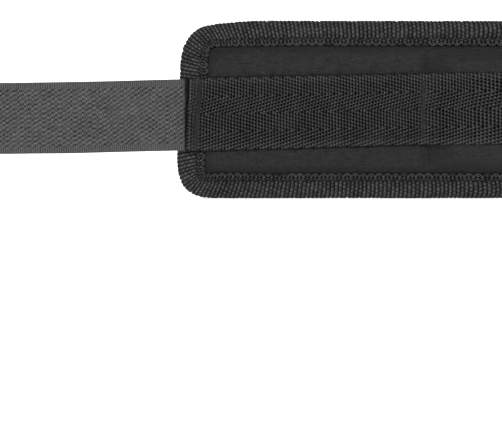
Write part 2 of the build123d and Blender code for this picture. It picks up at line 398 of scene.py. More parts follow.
outer_cloth = neoprene("outer_neoprene", 34.2, 1.0)
lining_cloth = neoprene("lining_neoprene", 39.5, 0.9)
binding_cloth = yarn("binding_tape", 8, 89, sheen=0.0, specular=0.04)
webbing_cloth = yarn("webbing_cloth", 0, 89, sheen=0.0, specular=0.04)
strap_cloth = yarn("hook_strap_cloth", 4, 119, scale=2400.0, sheen=0.0, specular=0.1)
hook_face_cloth = yarn("hook_face_cloth", 2, 116, scale=2400.0)
loop_cloth = yarn("loop_pile", 12, 50, sheen=0.12, roughness=0.9, scale=1800.0)
thread_cloth = yarn("sewing_thread", 6, 50, scale=5200.0)
pouch_cloth = yarn("pouch_cloth", 14, 44)
foam_cloth = yarn("foam_core", 50, 110, roughness=0.95, scale=1500.0)

filament = Nodes("hook_filament", 0.38, specular=0.5)
hook_material = filament.finish(filament.ramp(filament.noise(900.0, 1.0), (0.3, grey(32)), (0.75, grey(138))))

metal = Nodes("iron_shot_metal", 0.5, specular=0.5)
metal.set(metal.shader, {"Metallic": 0.85})
rust = metal.ramp(metal.noise(600.0, 4.0), (0.3, (0.10, 0.10, 0.105)), (0.7, (0.30, 0.295, 0.29)))
shot_material = metal.finish(rust, metal.noise(1800.0, 3.0), 0.4, 0.0002)

# ---------------------------------------------------------------- stretches between mid-sections

MID_S = list(cuff_line.mid_s)
SPANS = list(zip([0.0, *MID_S[1:7]], [*MID_S[1:7], CUFF_END]))     # each bends at one of the cuff's folds


def bend(obj, k, *nodes):
    """The piece over the cuff's span k, between that span's two bodies, has its transform baked and stands
    for CAD nodes, which are hidden.
    """
    start, end = (tuple(place(s, FOLD_DEPTH - 0.4, 0)[0]) for s in MID_S[k:k + 2])
    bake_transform(obj)
    if nodes:
        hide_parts(*nodes)


def numbered(name, k):
    """CAD nodes under the cuff's span k, of a layer that has one for each body."""
    return [f"{name}_{n}" for n in ([1, 2] if k == 0 else [k + 2])]


def stations(low, high, step):
    return np.linspace(low, high, max(2, int(round((high - low) / step)) + 1))


def strip(low, high, step, columns):
    """A strip's grid: s from low to high, and places across it from -1 to 1."""
    s = stations(low, high, step)[:, None]
    return np.broadcast_to(s, (len(s), columns)), np.linspace(-1, 1, columns)[None, :]


# ---------------------------------------------------------------- the outline and its binding


def quarter_outline(reach, power):
    """From the middle of one end up round its corner to the middle of the long edge."""
    angle = np.linspace(0, math.pi / 2, 4000)
    x = reach - reach * np.cos(angle) ** (2 / power)
    y = (HALF - reach) + reach * np.sin(angle) ** (2 / power)
    return np.column_stack([np.concatenate([[0], x, [CUFF_END / 2]]), np.concatenate([[0], y, [HALF]])])


def outline_table(step=0.02):
    """The cuff's outline as one closed loop from the middle of the strap end, going up and round."""
    upper_near, lower_near = quarter_outline(*CORNERS[0, 1]), quarter_outline(*CORNERS[0, -1]) * [1, -1]
    upper_far = quarter_outline(*CORNERS[1, 1]) * [-1, 1] + [CUFF_END, 0]
    lower_far = quarter_outline(*CORNERS[1, -1]) * [-1, -1] + [CUFF_END, 0]
    loop = np.concatenate([upper_near, upper_far[-2::-1], lower_far[1:], lower_near[-2::-1]])
    along = lengths_along(loop)
    p = np.arange(0, along[-1], step)
    s, h = np.interp(p, along, loop[:, 0]), np.interp(p, along, loop[:, 1])
    window = np.ones(41) / 41
    slopes = [np.pad(np.gradient(v, step), 20, mode="wrap") for v in (s, h)]
    ds, dh = (np.convolve(slope, window, mode="valid") for slope in slopes)
    size = np.hypot(ds, dh)
    return p, s, h, dh / size, -ds / size, along[-1]


LOOP_P, LOOP_S, LOOP_H, LOOP_NS, LOOP_NH, LOOP_LENGTH = outline_table()
RIBS = 2 * int(round(LOOP_LENGTH / RIB_PITCH / 2))
PITCH = LOOP_LENGTH / RIBS


def loop_at(p):
    """Point and inward normal of the outline at loop distance p."""
    q = np.mod(p, LOOP_LENGTH)
    return tuple(np.interp(q, LOOP_P, v, period=LOOP_LENGTH) for v in (LOOP_S, LOOP_H, LOOP_NS, LOOP_NH))


# loop distances of the four corners' middles
CORNER_MIDDLES = [
    LOOP_P[np.argmin((LOOP_S if end == 0 else CUFF_END - LOOP_S) + (HALF - side * LOOP_H))]
    for end, side in ((0, 1), (1, 1), (1, -1), (0, -1))
]


def from_middle(p, middle):
    """Loop distance of p past a corner's middle, the short way round."""
    return np.mod(p - middle + LOOP_LENGTH / 2, LOOP_LENGTH) - LOOP_LENGTH / 2


def lean(p):
    """How far, in mm, the binding's inner selvedge has been eased away from the nearest corner."""
    total = np.zeros_like(p)
    for middle in CORNER_MIDDLES:
        x = from_middle(p, middle)
        total += 6.5 * np.tanh(x / 11.0) * np.exp(-np.abs(x) / 30.0)
    return total


# Section of the binding, from its selvedge on the outer face round the edge to the one on the skin
# side, and INSIDE, the way back inside the tape: inset from the cuff's edge, and depth.
SECTION = [
    (10.70, 6.95), (10.2, 7.35), (9.1, 7.55), (8.2, 7.4), (7.5, 7.05), (6.8, 7.45), (5.6, 8.05),
    (4.0, 8.3), (2.4, 7.9), (1.0, 6.7), (0.25, 5.0), (0.0, 3.1), (0.25, 1.2), (1.0, -0.2),
    (2.4, -1.2), (4.0, -1.55), (5.6, -1.45), (6.8, -1.05), (7.5, -0.7), (8.2, -1.0), (9.1, -1.1),
    (10.2, -1.0), (10.70, -0.75),
]
INSIDE = [(10.6, -0.1), (6.0, -0.08), (1.6, -0.02), (1.1, 3.0), (1.6, 6.05), (6.0, 6.1), (10.6, 6.25)]


def section_curve(step):
    """Smooth points along SECTION, their outward normals and the distance along it."""
    knots = np.array(SECTION)
    u = lengths_along(knots)
    fine = np.linspace(0, u[-1], 600)
    kernel = np.hanning(25)
    kernel /= kernel.sum()
    padded = [np.pad(np.interp(fine, u, v), 12, mode="reflect", reflect_type="odd") for v in knots.T]
    curve = np.column_stack([np.convolve(v, kernel, mode="valid") for v in padded])
    q = lengths_along(curve)
    at = stations(0, q[-1], step)
    e, d = np.interp(at, q, curve[:, 0]), np.interp(at, q, curve[:, 1])
    te, td = np.gradient(e, at), np.gradient(d, at)
    size = np.hypot(te, td)
    return at, e, d, td / size, -te / size


def lot(seed, low, high, *numbers):
    """A fixed random number for each whole-number place."""
    table = np.random.default_rng(seed).uniform(low, high, 4001)
    key = sum(np.asarray(n).astype(np.int64) * m for n, m in zip(numbers, (1, 61)))
    return table[np.mod(key, 4001)]


def rib_relief(p, q, total):
    """Knit of the binding: ribs over its rounded part, a band of looped stitches at each selvedge."""
    side = np.minimum(q, total - q)                 # distance along the tape from the nearer selvedge
    rib = (p / PITCH) + 0.07 * wander(p + 2.2 * q, 3, 5.0)
    index = np.floor(rib)
    f = rib - index - 0.5
    ring_index = np.mod(index, RIBS)
    run = q / 1.77 + 0.5 * np.mod(ring_index, 2) + lot(5, -0.12, 0.12, ring_index)
    bead_index = np.round(run)
    edge = hump(q - total / 2, 2.4)
    crown = np.sqrt(np.clip(1 - (f / 0.43) ** 2, 0, 1))
    way = np.where(np.mod(p, LOOP_LENGTH) < LOOP_LENGTH / 2, 1, -1)
    across_bead = ((f + 0.13 * way * (1 - edge)) / (0.15 + 0.15 * edge)) ** 2
    bead = np.exp(-across_bead - (np.abs(run - bead_index) / 0.31) ** 2.4)
    bead = bead * lot(7, 0.25, 1.0, ring_index, bead_index)
    dull = lot(8, 0.22, 0.5, ring_index, bead_index) + 0.15 * edge
    parting = hump(np.abs(run - bead_index) - 0.5, 0.13) * lot(6, 0.0, 0.75, ring_index, np.floor(run))
    ribs = (crown * dull + 1.1 * bead) * (1 - parting)
    # looped band
    cell = np.mod(rib / 2, 1) * 2 - 1
    cell_index = np.mod(np.floor(rib / 2), RIBS // 2)
    x = np.abs(cell * PITCH + lot(9, -0.12, 0.12, cell_index))
    y = side - 1.75 + lot(11, -0.15, 0.15, cell_index)
    arc = hump(np.hypot(x, y * 1.1) - 1.5, 0.28) * (0.4 + 0.6 * smooth(0.7, -0.7, y))
    loops = arc * lot(13, 0.3, 0.8, cell_index)
    for n, (bx, by) in enumerate(((0, -0.5), (0, 0.6), (PITCH, 0.05), (PITCH, 1.15))):
        knot = np.exp(-(((x - bx) / 0.38) ** 2) - (((y - by) / 0.3) ** 2))
        loops = np.maximum(loops, knot * lot(15 + n, 0.65, 1.35, cell_index))
    blend = smooth(2.95, 3.6, side)
    # the stitch groove and the holes beside it sink the tape, and through the yarn's colour ramp they are
    # painted dark: painted shade in the groove
    hole = np.exp(-(((0.5 - np.abs(f)) * PITCH / 0.5) ** 2) - (((side - 3.45) / 0.45) ** 2))
    hole = hole * lot(20, 0.0, 1.0, np.mod(np.floor(rib + 0.5), RIBS)) ** 1.5
    valley = 1 - 0.35 * hump(side - 3.45, 0.4) - 0.9 * hole
    return np.clip((loops * (1 - blend) + ribs * blend) * valley, 0, 1)


def make_binding(p_low, p_high):
    """A length of binding with closed ends: points, quads, triangles and relief."""
    q, e, d, ne, nd = section_curve(0.23)
    P, Q = np.meshgrid(stations(p_low, p_high, 0.25 if p_high - p_low < 180 else 0.29), q, indexing="ij")
    E, D = np.broadcast_to(e, P.shape).copy(), np.broadcast_to(d, P.shape).copy()
    NE, ND = np.broadcast_to(ne, P.shape), np.broadcast_to(nd, P.shape)
    side = np.minimum(Q, q[-1] - Q)
    phase = P - lean(P) * np.clip(E / 10.0, 0, 1.1)
    relief = rib_relief(phase, Q, q[-1])
    # scalloped selvedge, uneven width, and a tape that is flatter where the strap crosses it
    cell = np.mod(phase / PITCH / 2, 1) * 2 - 1
    tip = np.sqrt(np.clip(1 - (cell * 0.97) ** 2, 0, 1)) - 0.75
    E += tip * 0.55 * smooth(1.4, 0.0, side)
    S0, H0, NS, NH = loop_at(P)
    # the tape is wider round the strap end and on the skin side, and drawn in at the corners
    near = np.abs(from_middle(P[..., None], CORNER_MIDDLES)).min(axis=-1)
    wider = 0.035 * wander(P, 21, 14.0) + 0.1 * smooth(12, 5, S0) + 0.1 * (D < 3) - 0.13 * hump(near, 8.0)
    E *= 1 + wider * smooth(2.5, 7.0, E)
    under = smooth(17.5, 14.0, np.abs(H0 - strap_h(S0))) * smooth(20, 6, np.minimum(S0, CUFF_END - S0))
    D = D - np.clip(D - 6.9, 0, None) * 0.75 * under
    lift = (0.58 + 0.35 * hump(E, 2.2)) * (relief - 0.35) * (1 - 0.8 * under * (D > 5))
    D = D + ND * lift + 0.12 * wander(P, 23, 17.0) * (np.sign(D - 3))
    E = E - NE * lift
    edge = 0.22 * wander(P, 31, 16.0) * smooth(9.0, 0.0, E)
    S, H = S0 + NS * (E + edge), H0 + NH * (E + edge)
    # the hidden inside of the tape closes the piece
    inside = np.array(INSIDE)
    Si, Hi = S0[:, :1] + NS[:, :1] * inside[:, 0], H0[:, :1] + NH[:, :1] * inside[:, 0]
    Di = np.broadcast_to(inside[:, 1], Si.shape)
    S, H, D, R = (np.concatenate(pair, axis=1) for pair in ((S, Si), (H, Hi), (D, Di), (relief, 0 * Si)))
    rows, columns = S.shape
    near_end = np.arange(columns)
    far_end = near_end + (rows - 1) * columns
    points = place(S, D, H)
    points = np.concatenate([points, [points[near_end].mean(axis=0), points[far_end].mean(axis=0)]])
    hub = np.full(columns, rows * columns)
    caps = [[hub, np.roll(near_end, -1), near_end], [hub + 1, far_end, np.roll(far_end, -1)]]
    triangles = np.concatenate([np.stack(cap, axis=1) for cap in caps])
    return points, grid_faces(rows, columns, wrap=True), triangles, np.append(R, [0, 0]), (near_end, far_end)


def top_distance(s):
    """Loop distance of the top edge at s, where it runs straight."""
    upper = LOOP_H > HALF - 0.5
    return float(np.interp(s, LOOP_S[upper], LOOP_P[upper]))


def build_bindings():
    for k, (low, high) in enumerate(SPANS):
        a, b = (None if s in (0.0, CUFF_END) else top_distance(s) for s in (low, high))
        if k == 0:
            lengths = [(-b, b)]
        elif k == 6:
            lengths = [(a, LOOP_LENGTH - a)]
        else:
            lengths = [(a, b), (LOOP_LENGTH - b, LOOP_LENGTH - a)]
        made = [make_binding(*length) for length in lengths]
        points, quads = gathered([(m[0], m[1]) for m in made])
        _, triangles = gathered([(m[0], m[2]) for m in made])
        starts = [0, len(made[0][0])]
        (n0, f0), (n1, f1) = [[rim + start for rim in m[4]] for m, start in zip((made[0], made[-1]), starts)]
        obj = new_mesh(f"edge_binding_{k + 1}", points, quads[:, ::-1], binding_cloth, "binding_tape",
                       np.concatenate([m[3] for m in made]), triangles=triangles[:, ::-1])
        near, far = {0: (None, (f0, n0)), 6: ((n0, f0), None)}.get(k, ((n0, f1), (f0, n1)))
        RIMS[obj.name] = [None if pair is None else np.concatenate(pair) for pair in (near, far)]
        bend(obj, k, *numbered("binding", k))


# ---------------------------------------------------------------- padded panels


def edge_half(s, inset, side):
    """Half height of the cuff's outline at s, drawn in by inset, above (side 1) or below (side -1)."""
    out = []
    for end, x in ((0, np.asarray(s, float)), (1, CUFF_END - np.asarray(s, float))):
        reach, power = CORNERS[end, side]
        t = np.clip((reach - x) / (reach - inset), 0, 1)
        out.append((HALF - reach) + (reach - inset) * (1 - t**power) ** (1 / power))
    return np.minimum(*out)


def across(s, inset, columns):
    """Heights of a grid's columns at each s, from the cuff's lower edge to its upper edge."""
    v = np.linspace(-1, 1, columns)[None, :]
    return np.where(v > 0, v * edge_half(s, inset, 1), v * edge_half(s, inset, -1))


def edge_inset(s, h):
    """Rough distance in from the cuff's edge."""
    y = HALF - np.abs(h)
    inset = np.minimum(np.minimum(s, CUFF_END - s), y)
    for (end, side), (reach, power) in CORNERS.items():
        x = s if end == 0 else CUFF_END - s
        a, b = np.clip(reach - x, 0, None), np.clip(reach - (HALF - side * h), 0, None)
        corner = reach - (a**power + b**power) ** (1 / power)
        inset = np.where((a > 0) & (b > 0) & (side * h > 0), np.minimum(inset, corner), inset)
    return inset


def pillow(s, h):
    """Height of the shot pouches' bulge over the cuff, from 0 at their seams to 1 at their crowns."""
    out = np.zeros_like(s)
    edges = [FLAP_END, *FOLD_S[3:], 277.0]
    for low, high in zip(edges[:-1], edges[1:]):
        u = np.clip((s - (low + high) / 2) / ((high - low) / 2), -1, 1)
        v = np.clip(h / 28.0, -1, 1)
        bulge = (1 - np.abs(u) ** 3.4) ** 0.62
        if low == FLAP_END:
            bulge = np.where(u < 0, smooth(low + 0.5, low + 17.0, s) * (1 - np.abs(u) ** 12), bulge)
        out = np.maximum(out, bulge * (1 - np.abs(v) ** 3.2) ** 0.66)
    return out


def seam_groove(s, h, width):
    """1 in the grooves of the box seam, 0 away from them."""
    x = h - strap_h(s)
    rows = np.minimum(np.abs(x - SEAM_HALF), np.abs(x + SEAM_HALF))
    within = smooth(SEAM_START - 1, SEAM_START + 1, s) * smooth(SEAM_END + 1.2, SEAM_END - 0.6, s)
    inside = smooth(SEAM_HALF + 1.2, SEAM_HALF - 0.4, np.abs(x))
    ends = [hump(s - end, width) * inside for end in (SEAM_END, SEAM_START)]
    return np.maximum.reduce([hump(rows, width) * within, *ends])


def panel_form(s, h):
    """Outer face of the neoprene panel as it is cut and sewn, before its filling pushes it about."""
    inset = edge_inset(s, h)
    base = 6.0 + 1.75 * smooth(8.0, 16.0, inset)
    bulge = 7.4 * pillow(s, h)
    pull = 0.5 * seam_groove(s, h, 3.5)
    beside = hump(np.abs(h - strap_h(s)) - 20.0, 4.8) * smooth(10, 14, inset)
    pull = pull - 1.2 * beside * smooth(10, 18, s) * smooth(FLAP_END, FLAP_END - 12, s)
    return base + bulge - pull + 0.1 * wander(s + 0.6 * h, 41, 15.0) * smooth(11, 18, inset)


def lining_form(s, h):
    """Skin face of the lining: slightly domed, drawn in along the box seam and the pouch seams."""
    inset = edge_inset(s, h)
    seams = np.maximum.reduce([hump(s - fold, 1.6) for fold in FOLD_S[3:]])
    dome = -0.55 * smooth(9.0, 19.0, inset)
    draw = 0.75 * seam_groove(s, h, 0.85) + 0.35 * seam_groove(s, h, 4.0)
    return dome + draw + 0.7 * seams * smooth(9.5, 12, inset) + 0.06 * wander(s - h, 43, 11.0)


SHEET_COLUMNS = 61
SHEET_S = stations(1.5, CUFF_END - 1.5, 1.25)


def blown(form, sewn, push, pressure, spare, side):
    """Depths of a panel after a cloth simulation of it unrolled flat, a tenth of a unit per mm.

    sewn says where it is held down, push shares out the pressure of the filling, spare is how much
    larger than its seams the panel is cut, and side is 1 outwards or -1 inwards.
    """
    S = np.broadcast_to(SHEET_S[:, None], (len(SHEET_S), SHEET_COLUMNS)).copy()
    H = across(S, PANEL_INSET, SHEET_COLUMNS)
    mesh = bpy.data.meshes.new("sheet")
    points = np.stack([S, H, side * form(S, H)], axis=-1).reshape(-1, 3) * 0.1
    mesh.from_pydata(points.tolist(), [], grid_faces(*S.shape, flip=True).tolist())
    obj = link(bpy.data.objects.new("sheet", mesh))
    for name, weights in (("pins", sewn(S, H).astype(float)), ("push", push(S))):
        group = obj.vertex_groups.new(name=name)
        flat = np.round(weights.ravel(), 2)
        for value in np.unique(flat[flat > 0]):
            group.add(np.flatnonzero(flat == value).tolist(), float(value), "REPLACE")
    cloth = obj.modifiers.new("cloth", "CLOTH")
    use = cloth.settings
    use.quality, use.mass, use.air_damping = 6, 0.08, 3.0
    use.tension_stiffness = use.compression_stiffness = 14.0
    use.shear_stiffness, use.bending_stiffness = 5.0, 1.2
    use.vertex_group_mass, use.pin_stiffness = "pins", 4.0
    use.use_pressure, use.uniform_pressure_force = True, pressure
    use.vertex_group_pressure = "push"
    use.shrink_min = -spare
    use.effector_weights.gravity = 0.0
    cloth.collision_settings.use_collision = False
    cloth.collision_settings.use_self_collision = False
    scene = bpy.context.scene
    for frame_number in range(1, 26):
        scene.frame_set(frame_number)
    settled = obj.evaluated_get(bpy.context.evaluated_depsgraph_get()).data
    depth = side * read(settled.vertices, "co", np.float32, 3).reshape(-1, 3)[:, 2].reshape(S.shape) * 10
    bpy.data.objects.remove(obj)
    scene.frame_set(1)
    return depth


def cubic(field, rows, columns):
    """Smooth lookup in a grid of values at fractional rows and columns."""
    out = np.zeros(rows.shape)
    r0, c0 = np.floor(rows).astype(int), np.floor(columns).astype(int)
    u, v = rows - r0, columns - c0

    def weights(x):
        return (
            0.5 * (-x + 2 * x**2 - x**3), 0.5 * (2 - 5 * x**2 + 3 * x**3),
            0.5 * (x + 4 * x**2 - 3 * x**3), 0.5 * (-(x**2) + x**3),
        )

    for i, a in enumerate(weights(u)):
        for j, b in enumerate(weights(v)):
            r = np.clip(r0 + i - 1, 0, field.shape[0] - 1)
            c = np.clip(c0 + j - 1, 0, field.shape[1] - 1)
            out += a * b * field[r, c]
    return out


def from_sheet(field, s, h):
    """A panel's settled depth at places on the cuff."""
    rows = (s - SHEET_S[0]) / (SHEET_S[1] - SHEET_S[0])
    half = np.where(h > 0, edge_half(s, PANEL_INSET, 1), edge_half(s, PANEL_INSET, -1))
    columns = (np.clip(h / half, -1, 1) + 1) / 2 * (SHEET_COLUMNS - 1)
    return cubic(field, np.clip(rows, 0, field.shape[0] - 1), columns)


def outer_sewn(s, h):
    held = (edge_inset(s, h) < PANEL_HELD) | (s > 276.5) | ((np.abs(h - strap_h(s)) < 13.0) & (s < FLAP_END))
    for fold in FOLD_S[2:]:
        held |= np.abs(s - fold) < 0.8
    return held


def lining_sewn(s, h):
    held = edge_inset(s, h) < PANEL_HELD
    for fold in FOLD_S[3:]:
        held |= (np.abs(s - fold) < 0.8) & (np.mod(h, STITCH) < 1.6)
    x = np.abs(h - strap_h(s))
    beat = np.mod(s - 10.4, STITCH) < 1.4
    held |= (np.abs(x - SEAM_HALF) < 0.7) & (s > 9) & (s < SEAM_END) & beat
    return held | ((np.abs(s - SEAM_END) < 0.8) & (x < SEAM_HALF + 0.5))


def outer_push(s):
    return np.where(s > FLAP_END, 1.0, 0.12)


def lining_push(s):
    return np.where(s > FLAP_END, 1.0, 0.8)


SHEETS = {}
SHEETS["outer"] = blown(panel_form, outer_sewn, outer_push, 9.0, 0.05, 1)
SHEETS["lining"] = blown(lining_form, lining_sewn, lining_push, 1.2, 0.015, -1)


def stitch_holes(s, h):
    """1 at the needle holes between the box seam's stitches on the skin side, 0 away from them."""
    def holes(run, off, long, wide):
        gap = (np.abs(run - np.round(run)) - 0.5) * STITCH
        return np.exp(-((gap / long) ** 2 + (off / wide) ** 2))

    x = h - strap_h(s)
    within = smooth(11.0, 12.0, s) * smooth(SEAM_END + 0.5, SEAM_END - 0.5, s)
    rows = holes((s - FIRST_STITCH) / STITCH, np.abs(np.abs(x) - SEAM_HALF), 0.62, 0.5) * within
    end = holes((x + SEAM_HALF - 2.2) / STITCH, s - SEAM_END - 0.2, 0.7, 0.7)
    return np.maximum(rows, end * smooth(SEAM_HALF + 0.6, SEAM_HALF, np.abs(x)))


def tack_shadow(s, h):
    """1 in the pulled-in line under the back-tacks at the box seam's end, 0 away from it."""
    x = h - strap_h(s)
    line = hump(s - SEAM_END + 0.55, 0.85) * smooth(SEAM_HALF + 0.5, SEAM_HALF - 0.3, np.abs(x))
    low, high, sway = TACKS[1]
    turn = math.pi * np.clip((x - low) / (high - low), 0, 1)
    loop = hump(s - SEAM_END - sway * np.sin(turn) - 0.4, 0.3) * smooth(0.0, 0.4, np.sin(turn))
    return np.maximum(line, loop)


def panel_depth(s, h):
    """Outer face of the neoprene panel."""
    s, h = np.broadcast_arrays(np.asarray(s, float), np.asarray(h, float))
    if "outer" not in SHEETS:
        return panel_form(s, h)
    # under the binding's inner selvedge the panel stays flat
    cover = 6.4 + 11.0 * smooth(10.4, 20.0, edge_inset(s, h))
    return np.clip(np.minimum(from_sheet(SHEETS["outer"], s, h), cover), 5.5, 15.9)


def lining_depth(s, h):
    """Skin face of the lining."""
    s, h = np.broadcast_arrays(np.asarray(s, float), np.asarray(h, float))
    if "lining" not in SHEETS:
        return lining_form(s, h)
    fine = 0.45 * seam_groove(s, h, 0.6) + 0.5 * stitch_holes(s, h)
    return np.clip(from_sheet(SHEETS["lining"], s, h) + fine, -1.35, 1.8)


def build_panels():
    for k, (low, high) in enumerate(SPANS):
        low, high = max(low, 1.3), min(high, CUFF_END - 1.3)
        S, _ = strip(low, high, 0.55, 141)
        H = across(S, PANEL_INSET, 141)
        # painted shade on the panel beside the binding's inner selvedge
        shade = 1 - 0.35 * smooth(12.6, 10.6, edge_inset(S, H))
        obj = slab(f"outer_panel_cloth_{k + 1}", S, H, panel_depth(S, H), 3.05, outer_cloth,
                   "outer_neoprene", outer_relief=shade)
        bend(obj, k, *numbered("outer_panel", k))
        S, _ = strip(low, high, 0.4, 191)
        H = across(S, PANEL_INSET, 191)
        # painted shade in the box seam's grooves and needle holes, beside the binding, and in the line under
        # the back-tacks
        shade = 1 - 0.7 * seam_groove(S, H, 0.6) - 0.9 * stitch_holes(S, H)
        shade = shade - 0.35 * smooth(12.4, 10.6, edge_inset(S, H)) - 0.95 * tack_shadow(S, H)
        obj = slab(f"lining_cloth_{k + 1}", S, H, 3.0, lining_depth(S, H), lining_cloth,
                   "lining_neoprene", inner_relief=np.clip(shade, 0, 1))
        bend(obj, k, *numbered("lining", k))


# ---------------------------------------------------------------- webbing


def webbing_table():
    """Depth of the webbing's inner face along the cuff: on the strap over the flap, then stretched
    over the pouches and down onto the binding at the far end."""
    s = np.arange(0, CUFF_END + 0.1, 0.5)
    v = np.linspace(-15.5, 15.5, 32)
    S, V = np.meshgrid(s, v, indexing="ij")
    touching = panel_depth(S, strap_h(S) + V).max(axis=1) + 0.1
    wide = np.max([np.roll(touching, k) for k in range(-3, 4)], axis=0)
    bridge = np.where(s > 130, 13.9 - 1.6 * sum(hump(s - fold, 4.2) for fold in FOLD_S[3:]), 0)
    fall = smooth(CUFF_END - 9.0, CUFF_END - 17.0, s)
    profile = np.maximum(wide, bridge) * fall + 8.3 * (1 - fall)
    profile = np.maximum(profile, np.where(s < FLAP_END + 0.5, 9.35, 0))
    kernel = np.hanning(9)
    return s, np.convolve(np.pad(profile, 4, mode="edge"), kernel / kernel.sum(), mode="valid")


WEBBING_LINE = webbing_table()


def webbing_depth(s):
    """Inner face of the webbing."""
    return np.interp(s, *WEBBING_LINE)


def herringbone(s, h):
    """Relief of the webbing, from 0 in the pits to 1 on the knuckles of yarn beside them.

    The weave runs in four bands along the webbing, each slanting against the next.
    """
    band = 7.36
    slant = 0.115 * (np.clip(h, 0, band) - band / 2)
    column = (s - slant) / 1.262 + 0.05 * wander(h, 51, 5.0) + 0.05 * wander(s, 53, 9.0)
    rows = np.abs(np.mod(h + 4 * band, 2 * band) - band) / 1.472
    rising = np.mod(np.floor(h / band), 2) == 0
    c = np.round(column)
    du = column - c
    v = rows + 0.27 * c
    dv = v - np.round(v)
    pit = np.clip(1.9 - (du / 0.29) ** 2 - (dv / 0.29) ** 2, 0, 1) * lot(54, 0.7, 1.0, c, np.round(v))
    knuckle = np.zeros_like(column)
    kinds = ((-0.29, 0.5, 0.27, 0.27, True), (0.54, 0.17, 0.19, 0.34, False))
    for shift, offset_v, wide, tall, rises in kinds:
        first = np.floor(column - shift)
        for step in (0, 1):
            k = first + step
            a = column - k - shift
            b = rows + 0.27 * k - offset_v
            b = b - np.round(b)
            spot = np.exp(-((a / wide) ** 2) - ((b / tall) ** 2))
            spot = spot * lot(55, 0.45, 1.05, k, np.round(rows + 0.27 * k - offset_v))
            knuckle = np.where(rising == rises, np.maximum(knuckle, spot), knuckle)
    return np.clip(0.25 + 0.66 * knuckle - 0.75 * pit, 0, 1)


def webbing_seam(s, h):
    """How far the stitches across the webbing's ends, and its lower row, have closed the weave."""
    x = h - strap_h(s)
    inside = smooth(SEAM_HALF + 1.4, SEAM_HALF - 0.6, np.abs(x))
    tilt = 0.025 * x
    end = np.exp(-(np.abs((s - SEAM_END - tilt) / 0.95) ** 3)) * inside
    start = np.exp(-(np.abs((s - SEAM_START - tilt) / 1.0) ** 3)) * smooth(14.2, 13.4, np.abs(x))
    line = x + SEAM_HALF - 0.5 * wander(s, 57, 12.0)
    row = hump(line, 0.42) * smooth(56, 62, s) * smooth(SEAM_END + 1, SEAM_END - 1, s)
    return np.maximum(np.maximum(end, start), row)


def build_webbing():
    start, end = 4.0, CUFF_END - 4.0
    for k, (low, high) in enumerate(SPANS):
        S, v = strip(max(low, start), min(high, end), 0.25, 125)
        H = strap_h(S) + v * (15.2 - 0.35 * smooth(40, 80, S) + 0.1 * wander(S, 61, 13.0))
        edge = smooth(1.0, 0.955, np.abs(v))
        inner = webbing_depth(S)
        seam = webbing_seam(S, H)
        relief = herringbone(S, H - strap_h(S)) * (1 - seam)
        relief = relief + (0.22 + 0.06 * wander(H * 3 + S, 65, 1.5)) * seam
        hem = smooth(SEAM_START + 1.0, SEAM_START - 0.6, S)
        hem = hem + smooth(end - SEAM_START + 3.0, end - 3.6, S)
        last = smooth(start, start + 0.9, S) * smooth(end, end - 0.9, S)
        thick = (1.15 + 1.1 * hem) * (0.35 + 0.65 * np.sqrt(last)) * (0.55 + 0.45 * edge)
        top = inner + thick + 0.25 * (1 - np.abs(v) ** 4)
        top = top + 0.7 * (relief - 0.4) * edge - 0.45 * seam - 0.25 * seam_groove(S, H, 2.6)
        top = np.maximum(top + 0.12 * wander(S * 1.0 + H * 0.7, 63, 7.0), inner + 0.25)
        # the weave is pulled flat and dull along the hem's stitches, and is lighter along the hem's folded
        # edge
        dull = smooth(start + 1.3, start + 2.0, S) * smooth(start + 5.6, start + 4.6, S)
        colour = relief + 0.45 * dull * (0.27 - relief)
        colour = colour + 0.14 * smooth(start + 0.3, start + 0.7, S) * smooth(start + 1.7, start + 1.2, S)
        colour = colour + 0.07 * smooth(0.76, 0.9, np.abs(v))
        # painted light over the box seam's end, lifting the shade of its groove
        colour = colour + 0.06 * smooth(99, 101.5, S) * smooth(109, 106, S)
        # painted shadow: darker on the webbing's folded end, where it stands over the strap, and along its
        # side rims
        rim = smooth(1.0, 0.985, np.abs(v))
        colour = colour * (0.3 + 0.7 * smooth(start - 0.1, start + 0.5, S)) * (0.4 + 0.6 * rim)
        obj = slab(f"webbing_strip_{k + 1}", S, H, top, inner, webbing_cloth, "webbing",
                   outer_relief=colour)
        bend(obj, k, *numbered("webbing", k))


# ---------------------------------------------------------------- hook strap


def strap_weave(s, h, half, seed):
    """Back of the hook tape: fine ribs across it, with rows of beads and pits between its selvedges."""
    column = s / 0.77
    c = np.round(column)
    du = column - c
    main = np.mod(c, 2) == 0
    row = h / 1.92 - 0.25 * c + np.where(main, lot(seed, -0.06, 0.06, c), lot(seed + 5, -0.2, 0.2, c))
    n = np.round(row)
    dv = row - n
    strength = (0.8 + 0.35 * wander(s + 0.3 * h, seed + 7, 6.0)) * np.where(main, 1.0, 0.6)
    bead = np.exp(-((du / 0.34) ** 2) - ((dv / 0.17) ** 2)) * lot(seed + 2, 0.2, 1.0, c, n) * strength
    gap = np.abs(dv) - 0.5
    pit = np.exp(-((du / 0.34) ** 2) - ((gap / 0.19) ** 2)) * lot(seed + 3, 0.2, 1.0, c, np.floor(row))
    pit = pit * strength
    middle = smooth(half - 2.2, half - 3.0, np.abs(h))
    ribs = np.cos(2 * math.pi * s / 0.51 + 0.5 * wander(h, seed + 4, 3.0))
    fine = 0.5 + 0.5 * np.cos(2 * math.pi * (s / 0.92))
    weave = 0.32 + 1.0 * bead - 0.62 * pit + 0.07 * ribs
    return np.clip(weave * middle + (0.18 + 0.36 * fine) * (1 - middle), 0, 1)


def strap_half(s):
    return STRAP_HALF + 0.12 * wander(s, 71, 12.0)


def tip_half(s, half):
    """Half width of the strap, rounded at its tip."""
    x = np.clip(s - (strap_s[-1] + 0.4), 0, None)
    t = np.clip((7.0 - x) / 7.0, 0, 1)
    return half - 7.0 + 7.0 * np.sqrt(np.clip(1 - t**2, 0, 1))


STRAP_MIDS = list(strap_line.mid_s[::-1])      # from the cuff outwards
STRAP_SPANS = list(zip([*STRAP_MIDS[1:4], strap_s[-1] + 0.4], [STRAP_FREE, *STRAP_MIDS[1:4]]))


